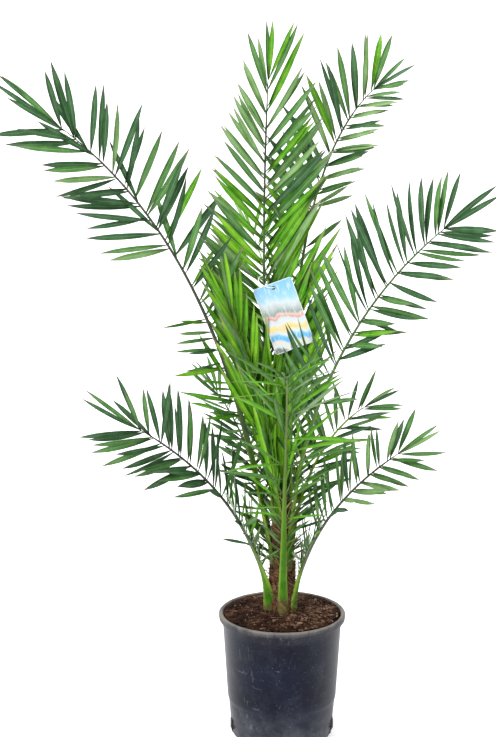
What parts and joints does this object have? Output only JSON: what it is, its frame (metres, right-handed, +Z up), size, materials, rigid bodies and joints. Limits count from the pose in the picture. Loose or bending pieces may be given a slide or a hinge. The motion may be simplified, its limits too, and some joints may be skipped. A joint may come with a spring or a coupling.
{
  "type": "potted canary island date palm",
  "caption": "Young canary island date palm with feathered fronds on a short fibrous stem, standing in a round nursery pot of soil, with a care label.",
  "frame": {"origin": "centre of the pot's flat underside", "axes": "+Z up; -Y towards the front, where the label hangs"},
  "size_m": [0.8226, 0.8713, 1.3192],
  "materials": {
    "pot_plastic": "dusty satin",
    "soil": "rough, damp",
    "bark": "rough, fibrous",
    "frond": "waxy leaf",
    "young_frond": "waxy leaf",
    "label": "printed, gloss",
    "label_ring": "clear"
  },
  "bodies": {
    "root": {"pot": "pot_plastic", "soil": "soil", "trunk": "bark", "frond_top": "young_frond", "frond_left": "frond", "frond_right": "frond", "frond_right_top": "frond", "frond_front": "frond", "frond_left_low": "frond", "frond_right_low": "frond", "frond_right_back": "frond", "frond_young": "young_frond", "frond_back_left": "frond", "frond_back": "frond", "frond_back_high": "frond", "label_card": "label", "label_ring": "label_ring"}
  },
  "joints": []
}
